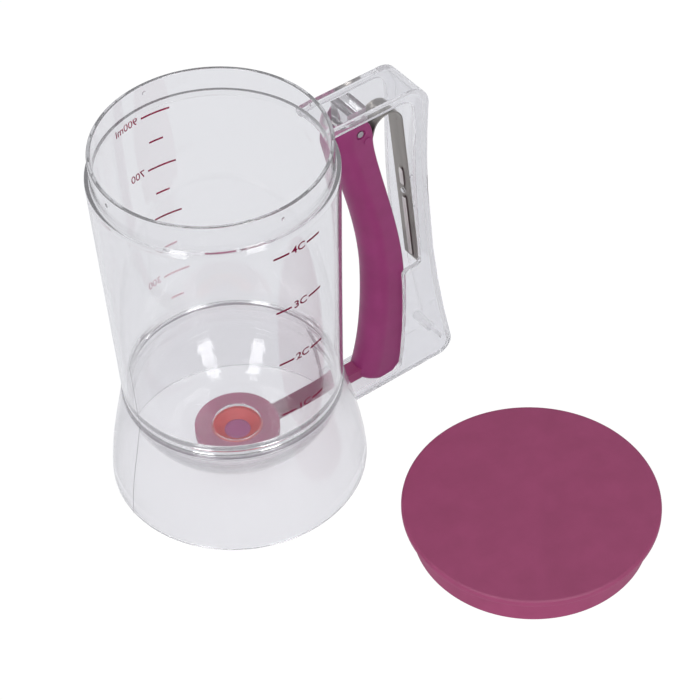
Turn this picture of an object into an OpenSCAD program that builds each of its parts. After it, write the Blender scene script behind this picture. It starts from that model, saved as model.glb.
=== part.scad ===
// Batter dispenser: a clear jug with a funnel bottom, a flared stand, a squeeze trigger that
// swings a valve away from the outlet, and a press-on lid that lies beside the jug.
// Origin: on the jug's axis, at the level of the table. +X points at the handle, +Z is up.

/* [Jug wall] */
// Height of the jug from the table to the rim
jug_h = 183.5; // [160:0.5:220]
// Outer radius of the collar that the lid slides over
collar_r = 50; // [46:0.5:52]
// Height of the collar above the ledge
collar_h = 12.4; // [8:0.2:18]
// Thickness of the collar
collar_t = 1.7; // [1.2:0.1:2.4]
// How far the ledge stands out past the collar
ledge_w = 2.1; // [1:0.1:3.5]
// Outer radius of the jug at its waist
waist_r = 48.6; // [44:0.2:50]
// Height of the waist, where the stand begins
waist_z = 51.4; // [40:0.2:62]
// Thickness of the jug's wall
wall_t = 2; // [1.4:0.1:3]
// Number of snap bumps round the collar
bump_count = 4; // [2:1:8]
// Radius of a snap bump
bump_r = 1.2; // [0.6:0.1:1.8]
// How far a snap bump stands out of the collar
bump_out = 0.4; // [0.2:0.05:0.6]

/* [Funnel bowl] */
// Inner radius of the bowl's flat bottom
bowl_floor_r = 22; // [20.5:0.5:24]
// Height of the outlet's lower face above the table
outlet_z = 20.4; // [16:0.2:26]
// Radius of the outlet
outlet_r = 10.8; // [7:0.2:14]
// Thickness of the bowl
bowl_t = 1.8; // [1.4:0.1:2.4]
// How far the floor falls towards the outlet
bowl_fall = 0.8; // [0.4:0.1:1.2]
// Height of the bowl's rim ring at the waist
ring_h = 2; // [1:0.1:3]
// How far the rim ring stands out past the waist
ring_out = 0.4; // [0.2:0.1:1]

/* [Stand] */
// Outer radius of the stand at the table
foot_r = 57.6; // [54:0.2:64]
// Thickness of the stand's wall
stand_t = 2; // [1.4:0.1:3]
// Height of the straight band inside the foot
foot_band = 3; // [2:0.5:6]
// Width of the slot for the valve arm
slot_w = 17.6; // [14:0.2:17.8]
// Height of the slot's lower edge
slot_low = 7.2; // [7:0.1:7.4]
// Height of the slot's upper edge
slot_high = 46; // [40:0.5:47]

/* [Handle] */
// Width of the handle
handle_w = 22; // [21.4:0.2:26]
// Thickness of the handle's sides and of its outer web
handle_t = 2.2; // [1.8:0.1:2.2]
// How far the handle's upper corner stands out past the ledge
handle_reach = 49.9; // [46:0.1:56]
// How much further out the handle's lower corner lies
heel_out = 12; // [8:0.2:16]
// How far the upright bows inwards
upright_bow = 3; // [0:0.2:4]
// How far the top arm lies below the ledge
arm_drop = 1; // [0.4:0.2:2]
// Height of the top arm's sides
arm_side = 4.6; // [4:0.2:5]
// Height of the bottom arm's lower face
bottom_z = 6; // [5.4:0.2:6.6]
// Thickness of the bottom arm's floor
floor_t = 1.2; // [1:0.1:1.6]
// Depth of the channel's sides along the upright
side_depth = 6.6; // [5:0.2:8]
// Radius of the handle's corners
corner_r = 10; // [6:0.5:12]

/* [Trigger] */
// Width of the trigger
trigger_w = 16.8; // [15:0.2:16.8]
// Thickness of the trigger's shell
trigger_t = 1.9; // [1.6:0.1:2.2]
// How far the pivot lies out past the ledge
pivot_out = 16; // [15:0.1:17]
// How far the pivot lies below the ledge
pivot_drop = 13.4; // [12.8:0.1:14]
// Radius of the pivot pin
pin_r = 1.5; // [1.2:0.1:1.8]
// Running clearance between the pin and the trigger
pin_gap = 0.06; // [0.03:0.01:0.1]
// Radius of the lug that carries the pin
lug_r = 4.8; // [4:0.2:5]
// Depth of the trigger's body at half height
grip_t = 16.7; // [15:0.1:17.4]
// Room between the trigger and the handle's outer web at half height
squeeze_room = 12.9; // [12.5:0.1:14.5]

/* [Valve] */
// Radius of the valve disc
disc_r = 19.2; // [17:0.2:22]
// Thickness of the valve disc
disc_t = 4.2; // [4:0.1:4.6]
// Radius of the silicone seal
seal_r = 11.6; // [9:0.2:14]
// Inner radius of the silicone seal
seal_hole_r = 5.9; // [4:0.1:7]
// Depth of the seal's seat in the disc
seal_seat = 3.4; // [2:0.1:3.4]
// Gap between the closed seal and the outlet
seal_gap = 0.3; // [0.2:0.05:0.5]
// Width of the arm between the disc and the trigger
arm_w = 7.2; // [6:0.2:10]
// Thickness of the arm
arm_t = 2.8; // [2.4:0.1:3]
// Radius of the stud under the seal button
button_stud_r = 2; // [1.5:0.1:2.5]

/* [Spring] */
// Width of the spring strip
strip_w = 10; // [8:0.2:11]
// Thickness of the spring strip
strip_t = 0.6; // [0.4:0.05:0.8]
// Radius of the bend at the spring's top
bend_r = 7.6; // [7:0.1:8]
// How far the spring's lower end lies below its bend
leg_drop = 86.2; // [76:0.2:90]
// Room between the bend and the handle's outer web
bend_room = 7.5; // [7:0.1:8.5]
// Room between the spring's lower end and the handle's outer web
leg_room = 2.7; // [2.5:0.1:3.5]
// How far the peg sits above the spring's lower end
peg_up = 42; // [36:0.5:46]
// Radius of the peg that holds the spring
peg_r = 1.2; // [0.8:0.1:1.5]
// Width of the rib pressed into the spring
rib_w = 3; // [2:0.2:4]
// Length of the rails beside the peg
rail_h = 18; // [10:1:30]

/* [Lid] */
// Height of the lid
lid_h = 17.1; // [15:0.1:22]
// How far the lid's flange stands out past its skirt
flange_out = 4.4; // [2:0.2:7]
// Thickness of the lid's flange
flange_t = 3.2; // [2.6:0.1:4]
// Clearance between the lid and the collar
lid_gap = 0.3; // [0.2:0.05:0.5]
// Where the lid's centre lies, along X
lid_x = 75.5; // [72:0.5:90]
// Where the lid's centre lies, along Y
lid_y = -114.9; // [-130:0.5:-112]

/* [Hidden] */
$fn = 96;
eps = 0.01;
// Gap between mouldings that are welded to each other
weld_gap = 0.04;
// Gap between solids that must never touch
free_gap = 0.3;
// How much shorter the pin is than the trigger is wide
pin_inset = 0.4;
// Gap between the trigger's foot and the bottom arm's floor
foot_gap = 0.5;
CLEAR = [0.88, 0.88, 0.93, 0.45];
PLUM = [0.55, 0.24, 0.42];

ledge_z = jug_h - collar_h;
ledge_r = collar_r + ledge_w;
ledge_t = 1.6;
rim_round = 0.5;
bowl_floor_z = outlet_z + bowl_t;
bowl_rim_r = waist_r - wall_t;
stand_top_z = waist_z - ring_h;
reach_top = ledge_r + handle_reach;
reach_low = reach_top + heel_out;
pivot_x = ledge_r + pivot_out;
pivot_z = ledge_z - pivot_drop;

// ---- Outline helpers: points are [distance along the outline's first axis, height] ----

function unit(v) = v / norm(v);

function bezier(a, b, c, d, n) =
    [for (i = [0:n]) let (t = i / n, s = 1 - t)
        s * s * s * a + 3 * s * s * t * b + 3 * s * t * t * c + t * t * t * d];

function arc(centre, r, from, to, n) =
    [for (i = [0:n]) let (a = from + (to - from) * i / n) centre + r * [cos(a), sin(a)]];

// The corner at b between a and c, rounded with radius r
function corner(a, b, c, r, n = 8) =
    let (u = unit(a - b), v = unit(c - b), half = acos(u * v) / 2,
         centre = b + unit(u + v) * r / sin(half), start = b + u * r / tan(half),
         end = b + v * r / tan(half), from = atan2(start[1] - centre[1], start[0] - centre[0]),
         to = atan2(end[1] - centre[1], end[0] - centre[0]),
         turn = to - from > 180 ? to - from - 360 : to - from < -180 ? to - from + 360 : to - from)
    arc(centre, r, from, from + turn, n);

// A band of thickness t whose middle runs along the path
function band(path, t) =
    let (last = len(path) - 1,
         side = [for (i = [0:last]) let (d = unit(path[min(i + 1, last)] - path[max(i - 1, 0)]))
             [-d[1], d[0]] * t / 2])
    concat([for (i = [0:last]) path[i] + side[i]], [for (i = [last:-1:0]) path[i] - side[i]]);

// Shifts points along the first axis
function shifted(points, dx) = [for (p = points) p + [dx, 0]];

function reversed(points) = [for (i = [len(points) - 1:-1:0]) points[i]];

// A side outline in X and Z, w thick, centred on Y = 0
module slab(points, w) {
    translate([0, w / 2, 0])
        rotate([90, 0, 0])
            linear_extrude(height = w)
                polygon(points);
}

// A rod of length w along Y, centred on Y = 0
module rod_y(x, z, r, w) {
    translate([x, w / 2, z])
        rotate([90, 0, 0])
            cylinder(r = r, h = w);
}

// ---- Jug ----

// Outer line of the tapered wall from the waist to the ledge
wall_line = [[waist_r, waist_z], [ledge_r, ledge_z - ledge_t], [ledge_r, ledge_z]];

// Everything inside the wall's outer line, grown by g
module wall_core(g) {
    rotate_extrude()
        polygon(concat([[0, waist_z - 1], [waist_r + g, waist_z - 1]], shifted(wall_line, g),
                       [[0, ledge_z]]));
}

module jug_wall() {
    inner_low = waist_r - wall_t;
    inner_top = ledge_r - wall_t;
    collar_in = collar_r - collar_t;
    color(CLEAR) {
        rotate_extrude()
            polygon(concat(wall_line,
                [[collar_r, ledge_z], [collar_r, jug_h - rim_round],
                 [collar_r - rim_round, jug_h], [collar_in + rim_round, jug_h],
                 [collar_in, jug_h - rim_round], [collar_in, ledge_z - ledge_t],
                 [inner_top, ledge_z - ledge_t - (inner_top - collar_in)],
                 [inner_low, waist_z]]));
        for (i = [0:bump_count - 1])
            rotate([0, 0, i * 360 / bump_count])
                translate([collar_r - collar_t / 2, 0, jug_h - collar_h * 0.4])
                    rotate([0, 90, 0])
                        cylinder(r = bump_r, h = collar_t / 2 + bump_out);
    }
}

// Height of the bowl's flat bottom at its edge
floor_edge_z = bowl_floor_z + bowl_fall;
// How far the bowl goes down steeply from its rim, and in flatly from the edge of its bottom
bowl_steep = 14.4;
bowl_flat = 11.8;
// Inner line of the bowl from its rim to the edge of its flat bottom
bowl_line = bezier([bowl_rim_r, waist_z], [bowl_rim_r - 0.4, waist_z - bowl_steep],
                   [bowl_floor_r + bowl_flat, floor_edge_z], [bowl_floor_r, floor_edge_z], 14);

module funnel_bowl() {
    plug_r = waist_r - stand_t - weld_gap;
    ring_r = waist_r + ring_out;
    under = [for (p = bowl_line) p + [0.6, -bowl_t]];
    color(CLEAR)
        rotate_extrude()
            polygon(concat(
                [for (i = [0:len(bowl_line) - 2]) bowl_line[i] - [0, weld_gap]],
                [[bowl_floor_r + weld_gap, floor_edge_z], [bowl_floor_r + weld_gap, floor_edge_z - bowl_t]],
                reversed([for (p = under) if (p[0] < plug_r - 1) p]),
                [[plug_r, stand_top_z - 3], [plug_r, stand_top_z], [ring_r, stand_top_z],
                 [ring_r, waist_z - weld_gap]]));
}

// The bowl's flat bottom, which falls towards the outlet
module bowl_floor() {
    color(CLEAR)
        rotate_extrude()
            polygon([[outlet_r, outlet_z], [bowl_floor_r, floor_edge_z - bowl_t],
                     [bowl_floor_r, floor_edge_z], [outlet_r, bowl_floor_z]]);
}

// Outer line of the stand from its top to the table
stand_line = bezier([waist_r + 0.3, stand_top_z - weld_gap], [waist_r + 3.4, stand_top_z * 0.66],
                    [foot_r - 0.9, stand_top_z * 0.34], [foot_r, 0], 12);

// Everything inside the stand's outer line, grown by g
module stand_core(g) {
    rotate_extrude()
        polygon(concat([[0, stand_top_z]], shifted(stand_line, g), [[foot_r + g, -1], [0, -1]]));
}

module base_stand() {
    inner = [for (p = stand_line) if (p[1] > foot_band + 2) p - [stand_t, 0]];
    color(CLEAR)
        difference() {
            rotate_extrude()
                polygon(concat(stand_line, [[foot_r - stand_t, 0], [foot_r - stand_t, foot_band]],
                               reversed(inner)));
            translate([waist_r / 2, -slot_w / 2, slot_low])
                cube([waist_r, slot_w, slot_high - slot_low]);
        }
}

// ---- Handle ----

arm_top_z = ledge_z - arm_drop;
elbow = [reach_top, arm_top_z];
heel = [reach_low, bottom_z];
heel_r = 8;
upright_top = [reach_top, arm_top_z - corner_r];
upright_low = [reach_low - heel_r / 10, bottom_z + heel_r];
upright_h = upright_top[1] - upright_low[1];
// The upright's outer line, bowed inwards at half height
upright_line = bezier(upright_top, upright_top + [-upright_bow, -0.26 * upright_h],
                      upright_low + [-heel_out, 0.38 * upright_h], upright_low, 16);

// How far out the upright's outer line lies at a height
function upright_x(z) = lookup(z, [for (p = upright_line) [p[1], p[0]]]);

outer_line = concat([[0, arm_top_z]], corner([0, arm_top_z], elbow, upright_top, corner_r),
                    upright_line, corner(upright_low, heel, [0, bottom_z], heel_r - 1), [[0, bottom_z]]);

// ---- Trigger outlines ----

trigger_low_z = bottom_z + floor_t + foot_gap;
// The trigger is drawn for a pivot 150 above its lowest point, and u scales its curves
u = (pivot_z - trigger_low_z) / 150;
trigger_top_z = pivot_z + 6 * u;
grip_z = pivot_z - 87 * u;
grip_out = upright_x(grip_z) - handle_t - squeeze_room;
grip_in = grip_out - grip_t;
head_in = [pivot_x - 11.6 * u, pivot_z - 6 * u];
head_out = [pivot_x + 6.2 * u, pivot_z - 16.6 * u];
foot_in = [grip_in - 7.3 * u, trigger_low_z + 4.6 * u];
foot_out = [grip_out - 2.8 * u, trigger_low_z + 5.2 * u];
// The side against the fingers, from the top of the head down to the foot's lowest point
finger_line = concat(
    [head_in + u * [4, 12], head_in + u * [0.3, 8]],
    bezier(head_in, head_in + u * [5, -20.5], [grip_in, grip_z] + u * [-0.4, 29], [grip_in, grip_z], 12),
    bezier([grip_in, grip_z] + u * [0.01, -4], [grip_in, grip_z] + u * [0.2, -21],
           foot_in + u * [5.3, 14], foot_in, 8),
    [foot_in + u * [1.6, -2.9], foot_in + u * [6, -4.6]]);
// The side towards the upright, with as many points as the finger side
palm_line = concat(
    [[pivot_x + 1.5 * u, trigger_top_z], [pivot_x + 5.4 * u, trigger_top_z - 3 * u]],
    bezier([pivot_x, pivot_z] + u * [6.6, -4], head_out + u * [-1, 2], [grip_out, grip_z] + u * [-1.6, 31],
           [grip_out, grip_z], 12),
    bezier([grip_out, grip_z] + u * [0.1, -4], [grip_out, grip_z] + u * [0.9, -20],
           foot_out + u * [2.6, 15], foot_out, 8),
    [foot_out + u * [-2.6, -3.8], foot_out + u * [-7.4, -5.2]]);
hollow_w = trigger_w - 2 * trigger_t;

// One cross-section between a point a on the finger side and a point b on the palm side:
// flat at the palm, w wide, and rounded at the finger side
function ring(a, b, w, n = 8) =
    let (depth = norm(a - b), nose = min(w / 2, depth * 0.75))
    concat([[b[0], -w / 2, b[1]]],
           [for (i = [0:n]) let (turn = -90 + 180 * i / n, reach = 1 - (1 - cos(turn)) * nose / depth,
                                 p = b + (a - b) * reach)
               [p[0], w / 2 * sin(turn), p[1]]],
           [[b[0], w / 2, b[1]]]);

// A solid through the cross-sections between two side lines
module loft(inner, outer, w) {
    rings = [for (i = [0:len(inner) - 1]) ring(inner[i], outer[i], w)];
    m = len(rings[0]);
    last = len(rings) - 1;
    sides = [for (i = [0:last - 1], j = [0:m - 1]) let (k = (j + 1) % m)
        each [[i * m + j, (i + 1) * m + k, i * m + k], [i * m + j, (i + 1) * m + j, (i + 1) * m + k]]];
    caps = [[for (j = [0:m - 1]) j], [for (j = [m - 1:-1:0]) last * m + j]];
    polyhedron(points = [for (r = rings) each r], faces = concat(sides, caps), convexity = 6);
}

// ---- Spring strip, as a path for the middle of its thickness ----

bend = [reach_top - handle_t - bend_room - bend_r, pivot_z - 7 * u];
strip_low_z = bend[1] - leg_drop;
leg_end = [upright_x(strip_low_z) - handle_t - leg_room, strip_low_z];
// The short leg rests against the inside of the trigger
tongue_end = [pivot_x + 0.75 * u, pivot_z - 34.7 * u];

// Lean of a straight leg from the bend to a point that lies this far across and down
function lean(across, down) = acos(bend_r / norm([across, down])) - atan2(down, across);

leg_tilt = lean(leg_end[0] - bend[0], bend[1] - leg_end[1]);
tongue_tilt = lean(bend[0] - tongue_end[0], bend[1] - tongue_end[1]);
leg_way = [sin(leg_tilt), -cos(leg_tilt)];
strip_path = concat([leg_end], arc(bend, bend_r, leg_tilt, 180 - tongue_tilt, 16), [tongue_end]);
peg_at = leg_end - peg_up * leg_way;

// A cylinder square to the strip's long leg, from depth a to depth b behind its middle
module leg_rod(at, r, a, b) {
    translate([at[0], 0, at[1]])
        rotate([0, 90 - leg_tilt, 0])
            translate([0, 0, a])
                cylinder(r = r, h = b - a, $fn = 32);
}

module return_spring() {
    rib_low = leg_end - 1.5 * leg_way;
    rib_high = leg_end - (peg_up + 10) * leg_way;
    back = [cos(leg_tilt), sin(leg_tilt)] * strip_t;
    color([0.62, 0.6, 0.58])
        difference() {
            union() {
                slab(band(strip_path, strip_t), strip_w);
                slab(band([rib_low + back, rib_high + back], strip_t + eps), rib_w);
            }
            leg_rod(peg_at, peg_r + 0.1, -2, 3);
        }
}

module handle_frame() {
    // Upper edge of the bottom arm's sides
    pocket_z = trigger_low_z + 1.8;
    // Below this height the side walls reach in beside the trigger
    deep_z = grip_z - 1;
    deep = [grip_out - 2, deep_z];
    // Inner edge of the two side walls, from the jug round to the jug again
    inset = [for (p = upright_line) if (p[1] > deep_z + 5) p - [side_depth, 0]];
    last = len(inset) - 1;
    step = [inset[last][0] + 0.4, deep_z];
    pocket = bezier(deep - [0, 4], deep + u * [0.9, -20], foot_out + u * [0.6, 15], foot_out - [2, 0], 8);
    arm_low_z = arm_top_z - arm_side;
    inner_line = concat([[0, arm_low_z]],
                        corner([0, arm_low_z], [inset[0][0] - 1.5, arm_low_z], inset[1], 7),
                        [for (i = [1:last]) inset[i]], corner(inset[last], step, deep, 3, 6),
                        corner(step, deep, deep - [0, 9], 3, 6), pocket,
                        [foot_out + u * [-4.6, -3] + [-1, 0], [foot_in[0] + 9 * u, pocket_z], [0, pocket_z]]);
    web_line = [for (p = upright_line) p - [handle_t, 0]];
    cavity = concat([[0, arm_top_z - handle_t]],
                    corner([0, arm_top_z - handle_t], elbow - [handle_t, handle_t], web_line[1],
                           corner_r - handle_t),
                    [for (i = [1:len(web_line) - 1]) web_line[i]],
                    corner(web_line[len(web_line) - 1], [reach_low - handle_t, bottom_z + floor_t],
                           [0, bottom_z + floor_t], 5),
                    [[0, bottom_z + floor_t]]);
    // Rails that back the spring strip beside the peg
    back_gap = [strip_t * 1.5 + free_gap, 0];
    rail_top = peg_at - rail_h / 2 * leg_way + back_gap;
    rail_low = peg_at + rail_h / 2 * leg_way + back_gap;
    boss = [reach_low - 9.4, bottom_z + 15.4];
    color(CLEAR)
        difference() {
            union() {
                difference() {
                    slab(concat(outer_line, reversed(inner_line)), handle_w);
                    slab(cavity, handle_w - 2 * handle_t);
                }
                // Lug for the pivot pin
                intersection() {
                    union() {
                        rod_y(pivot_x, pivot_z, lug_r, hollow_w - 1);
                        slab([[pivot_x - lug_r, pivot_z], [pivot_x + lug_r, pivot_z],
                              [pivot_x + lug_r, arm_top_z - eps], [pivot_x - lug_r, arm_top_z - eps]],
                             hollow_w - 1);
                    }
                    slab(outer_line, handle_w);
                }
                // Spring rails and the peg between them
                intersection() {
                    for (y = [-1, 1])
                        translate([0, y * (rib_w / 2 + 1.6), 0])
                            slab([rail_top, rail_low, rail_low + [20, 0], rail_top + [20, 0]], 1.6);
                    slab(outer_line, handle_w);
                }
                intersection() {
                    leg_rod(peg_at, peg_r, -1.2, 12);
                    slab(outer_line, handle_w);
                }
                // Corner boss with its rib
                intersection() {
                    union() {
                        rod_y(boss[0], boss[1], 2.2, hollow_w - 2);
                        slab(band([boss, heel], 1.6), hollow_w - 2);
                    }
                    slab(outer_line, handle_w);
                }
            }
            wall_core(weld_gap);
            stand_core(weld_gap);
            rod_y(pivot_x, pivot_z, pin_r, handle_w);
        }
}

module pivot_pin() {
    color([0.75, 0.74, 0.76])
        rod_y(pivot_x, pivot_z, pin_r, trigger_w - pin_inset);
}

// ---- Trigger body ----

module trigger_lever() {
    count = len(finger_line);
    floor_z = trigger_low_z + trigger_t;
    // The hollow follows the finger side and is open towards the upright and at the top
    hollow_in = concat([for (up = [3, 0.5]) [head_in[0] + trigger_t + 0.2, trigger_top_z + up]],
                       [for (i = [2:count - 3]) finger_line[i] + [trigger_t, 0]],
                       [[foot_in[0] + trigger_t + 2.6 * u, floor_z]]);
    hollow_out = [for (p = hollow_in) [reach_low, p[1]]];
    color(PLUM)
        difference() {
            union() {
                loft(finger_line, palm_line, trigger_w);
                // Small round boss below the pivot on each cheek
                rod_y(pivot_x + 3.2 * u, pivot_z - 5 * u, 1.8 * u, trigger_w + 0.8);
            }
            loft(hollow_in, hollow_out, hollow_w);
            rod_y(pivot_x, pivot_z, pin_r + pin_gap, trigger_w + 2);
            // Window in the foot for the valve arm
            translate([block_in - 3, -arm_w / 2 - weld_gap, block_z - weld_gap])
                cube([block_out - block_in + 3 + weld_gap, arm_w + 2 * weld_gap, block_h + 2 * weld_gap]);
        }
}

disc_top_z = outlet_z - seal_gap;
disc_low_z = disc_top_z - disc_t;
// Underside of the arm's root, which lies below the disc
root_z = disc_low_z - arm_t;
root_r = 8;
// Block at the arm's outer end, held in the trigger's foot
block_z = trigger_low_z + trigger_t;
block_h = 5.4;
block_in = foot_in[0] - 8.3;
block_out = block_in + 18.5;
barb_h = 4;

module valve_arm() {
    color(PLUM)
        difference() {
            union() {
                translate([0, 0, disc_low_z])
                    cylinder(r = disc_r, h = disc_t);
                translate([0, 0, root_z])
                    cylinder(r = root_r, h = arm_t + eps);
                slab([[0, root_z], [root_r, root_z], [block_in, block_z], [block_out, block_z],
                      [block_out, block_z + block_h], [block_in + 2.4, block_z + block_h],
                      [block_in - 1.6, block_z + 4.2], [disc_r - 1, disc_low_z + eps],
                      [0, disc_low_z + eps]], arm_w);
                // Barb that keeps the block in the trigger
                slab([[block_out - 2, block_z + free_gap], [block_out, block_z + free_gap],
                      [block_out, block_z + barb_h], [block_out - 2, block_z + barb_h]], hollow_w - 2);
            }
            translate([0, 0, disc_top_z - seal_seat])
                cylinder(r = seal_r + weld_gap, h = disc_t);
            translate([0, 0, root_z - 1])
                cylinder(r = button_stud_r + weld_gap, h = disc_t + 4);
        }
}

module valve_seal() {
    seat_z = disc_top_z - seal_seat + weld_gap;
    color([0.9, 0.3, 0.22])
        rotate_extrude()
            polygon([[seal_hole_r, seat_z], [seal_r, seat_z], [seal_r, disc_top_z - 0.3],
                     [seal_r - 0.5, disc_top_z], [seal_r - 1.6, disc_top_z],
                     [seal_hole_r, seat_z + 0.7]]);
}

module seal_button() {
    seat_z = disc_top_z - seal_seat + weld_gap;
    color([0.5, 0.35, 0.45]) {
        translate([0, 0, seat_z])
            cylinder(r = seal_hole_r - weld_gap, h = 0.6);
        translate([0, 0, seat_z + 0.6])
            cylinder(r1 = seal_hole_r - weld_gap, r2 = seal_hole_r - 1, h = 0.4);
        translate([0, 0, root_z - 0.6])
            cylinder(r = button_stud_r, h = seat_z - root_z + 0.6 + eps);
    }
}

// ---- Lid ----

module lid() {
    skirt_r = ledge_r;
    bore_r = collar_r + lid_gap;
    flange_r = skirt_r + flange_out;
    inside_h = collar_h + lid_gap;
    groove_z = collar_h * 0.6;
    color(PLUM)
        translate([lid_x, lid_y, 0])
            rotate_extrude()
                polygon(concat(
                    [[0, lid_h]], corner([0, lid_h], [flange_r, lid_h], [flange_r, 0], 1.4, 5),
                    [[flange_r, lid_h - flange_t + 0.6], [flange_r - 0.6, lid_h - flange_t],
                     [skirt_r, lid_h - flange_t], [skirt_r, 0], [bore_r, 0],
                     [bore_r, groove_z - bump_r - lid_gap], [bore_r + bump_out, groove_z - bump_r],
                     [bore_r + bump_out, groove_z + bump_r], [bore_r, groove_z + bump_r + lid_gap],
                     [bore_r, inside_h], [0, inside_h]]));
}

jug_wall();
funnel_bowl();
bowl_floor();
base_stand();
handle_frame();
return_spring();
pivot_pin();
trigger_lever();
valve_arm();
valve_seal();
seal_button();
lid();
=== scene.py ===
import math

import bmesh
import bpy
from mathutils import Matrix, Vector


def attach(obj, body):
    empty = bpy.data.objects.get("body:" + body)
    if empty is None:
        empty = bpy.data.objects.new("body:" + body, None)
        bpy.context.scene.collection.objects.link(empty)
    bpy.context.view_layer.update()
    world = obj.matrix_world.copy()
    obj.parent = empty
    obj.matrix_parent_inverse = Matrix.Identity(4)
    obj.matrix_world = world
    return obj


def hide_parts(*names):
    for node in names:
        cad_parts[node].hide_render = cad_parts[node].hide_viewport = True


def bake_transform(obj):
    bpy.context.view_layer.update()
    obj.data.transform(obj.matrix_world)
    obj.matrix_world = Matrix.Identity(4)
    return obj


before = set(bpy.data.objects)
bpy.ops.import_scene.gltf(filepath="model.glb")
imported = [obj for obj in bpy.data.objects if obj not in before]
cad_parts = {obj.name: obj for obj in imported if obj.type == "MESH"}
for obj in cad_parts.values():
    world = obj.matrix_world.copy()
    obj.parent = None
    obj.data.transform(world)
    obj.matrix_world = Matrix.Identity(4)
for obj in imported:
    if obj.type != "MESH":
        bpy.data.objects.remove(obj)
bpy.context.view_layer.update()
MM = 0.001

# ---- Sizes in millimetres, as in the CAD ----
JUG_H = 183.5
COLLAR_R, COLLAR_IN, COLLAR_H = 50.0, 48.3, 12.4
LEDGE_R, LEDGE_Z, LEDGE_T = 52.1, 171.1, 1.6
WAIST_R, WAIST_Z, WALL_T = 48.6, 51.4, 2.0
BOWL_FLOOR_R, FLOOR_EDGE_Z, BOWL_T = 22.0, 23.0, 1.8
OUTLET_R, OUTLET_TOP_Z, OUTLET_Z = 10.8, 22.2, 20.4
WELD_GAP = 0.04
STAND_TOP_Z, STAND_T, FOOT_R, FOOT_BAND = 49.4, 2.0, 57.6, 3.0
SLOT_W, SLOT_LOW, SLOT_HIGH = 17.6, 7.2, 46.0
SLOT_IN, SLOT_OUT = 24, 73
PIVOT_X, PIVOT_Z, PIN_R = 68.1, 157.7, 1.5
TRIGGER_W, TRIGGER_T = 16.8, 1.9
HOLLOW_W = TRIGGER_W - 2 * TRIGGER_T
LOW_Z, TOP_Z = 7.7, 163.7
LID_X, LID_Y, LID_H = 75.5, -114.9, 17.1
FLANGE_T, GROOVE_T = 3.2, 0.4


# ---- Outline helpers in two dimensions ----
def bezier(a, b, c, d, n):
    """A curve from a to d in n steps, led by b and c."""
    line = []
    for i in range(n + 1):
        t = i / n
        s = 1 - t
        line.append(tuple(s * s * s * a[k] + 3 * s * s * t * b[k] + 3 * s * t * t * c[k] + t * t * t * d[k]
                          for k in (0, 1)))
    return line


def rounded(points, closed=True):
    """Points (x, y) or (x, y, radius): a corner with a radius becomes an arc."""
    out, count = [], len(points)
    for i, point in enumerate(points):
        r = point[2] if len(point) > 2 else 0
        here = Vector(point[:2])
        if r <= 0 or (not closed and i in (0, count - 1)):
            out.append(tuple(here))
            continue
        back = Vector(points[i - 1][:2]) - here
        ahead = Vector(points[(i + 1) % count][:2]) - here
        cut_limit = 0.49 * min(back.length, ahead.length)
        back.normalize()
        ahead.normalize()
        half = math.acos(max(-1, min(1, back.dot(ahead)))) / 2
        if half > math.radians(88):
            out.append(tuple(here))
            continue
        cut = min(r / math.tan(half), cut_limit)
        r = cut * math.tan(half)
        centre = here + (back + ahead).normalized() * (r / math.sin(half))
        start, end = here + back * cut - centre, here + ahead * cut - centre
        turn = math.atan2(start.x * end.y - start.y * end.x, start.dot(end))
        steps = max(2, round(abs(math.degrees(turn)) / 18))
        for k in range(steps + 1):
            a = turn * k / steps
            out.append((centre.x + start.x * math.cos(a) - start.y * math.sin(a),
                        centre.y + start.x * math.sin(a) + start.y * math.cos(a)))
    return out


# ---- Mesh helpers: points in millimetres ----
def add_mesh(name, points, faces, smooth=True):
    mesh = bpy.data.meshes.new(name)
    mesh.from_pydata([(x * MM, y * MM, z * MM) for x, y, z in points], [], faces)
    mesh.validate()
    mesh.update()
    if smooth:
        mesh.shade_smooth()
    piece = bpy.data.objects.new(name, mesh)
    bpy.context.scene.collection.objects.link(piece)
    return piece


def revolve(name, outline, steps=256, centre=(0, 0)):
    """Turns a closed outline of (radius, height) about the vertical axis through centre."""
    area = sum(outline[i - 1][0] * outline[i][1] - outline[i][0] * outline[i - 1][1]
               for i in range(len(outline)))
    if area < 0:
        outline = outline[::-1]
    points, rows = [], []
    for r, z in outline:
        if r < 1e-6:
            rows.append([len(points)] * steps)
            points.append((centre[0], centre[1], z))
            continue
        rows.append(list(range(len(points), len(points) + steps)))
        for k in range(steps):
            a = 2 * math.pi * k / steps
            points.append((centre[0] + r * math.cos(a), centre[1] + r * math.sin(a), z))
    faces, count = [], len(outline)
    for i in range(count):
        low, high = rows[i], rows[(i + 1) % count]
        for k in range(steps):
            m = (k + 1) % steps
            corners = [low[k], low[m], high[m], high[k]]
            kept = [c for n, c in enumerate(corners) if c not in corners[:n]]
            if len(kept) > 2:
                faces.append(kept)
    return add_mesh(name, points, faces)


def weight_normals(piece):
    """Lets the large faces lead the shading beside narrow ones."""
    change = piece.modifiers.new("even_normals", "WEIGHTED_NORMAL")
    change.keep_sharp = True
    change.weight = 80


def face_out(piece):
    """Turns every face outwards."""
    work = bmesh.new()
    work.from_mesh(piece.data)
    bmesh.ops.recalc_face_normals(work, faces=work.faces)
    work.to_mesh(piece.data)
    work.free()


def rod(name, start, end, radius, sides=32):
    """A round rod between two points."""
    start, end = Vector(start), Vector(end)
    along = (end - start).normalized()
    side = along.orthogonal().normalized()
    other = along.cross(side)
    points = []
    for base in (start, end):
        for k in range(sides):
            a = 2 * math.pi * k / sides
            points.append(tuple(base + radius * (math.cos(a) * side + math.sin(a) * other)))
    faces = [[k, (k + 1) % sides, (k + 1) % sides + sides, k + sides] for k in range(sides)]
    faces += [list(range(sides))[::-1], list(range(sides, 2 * sides))]
    piece = add_mesh(name, points, faces, smooth=False)
    face_out(piece)
    return piece


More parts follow.
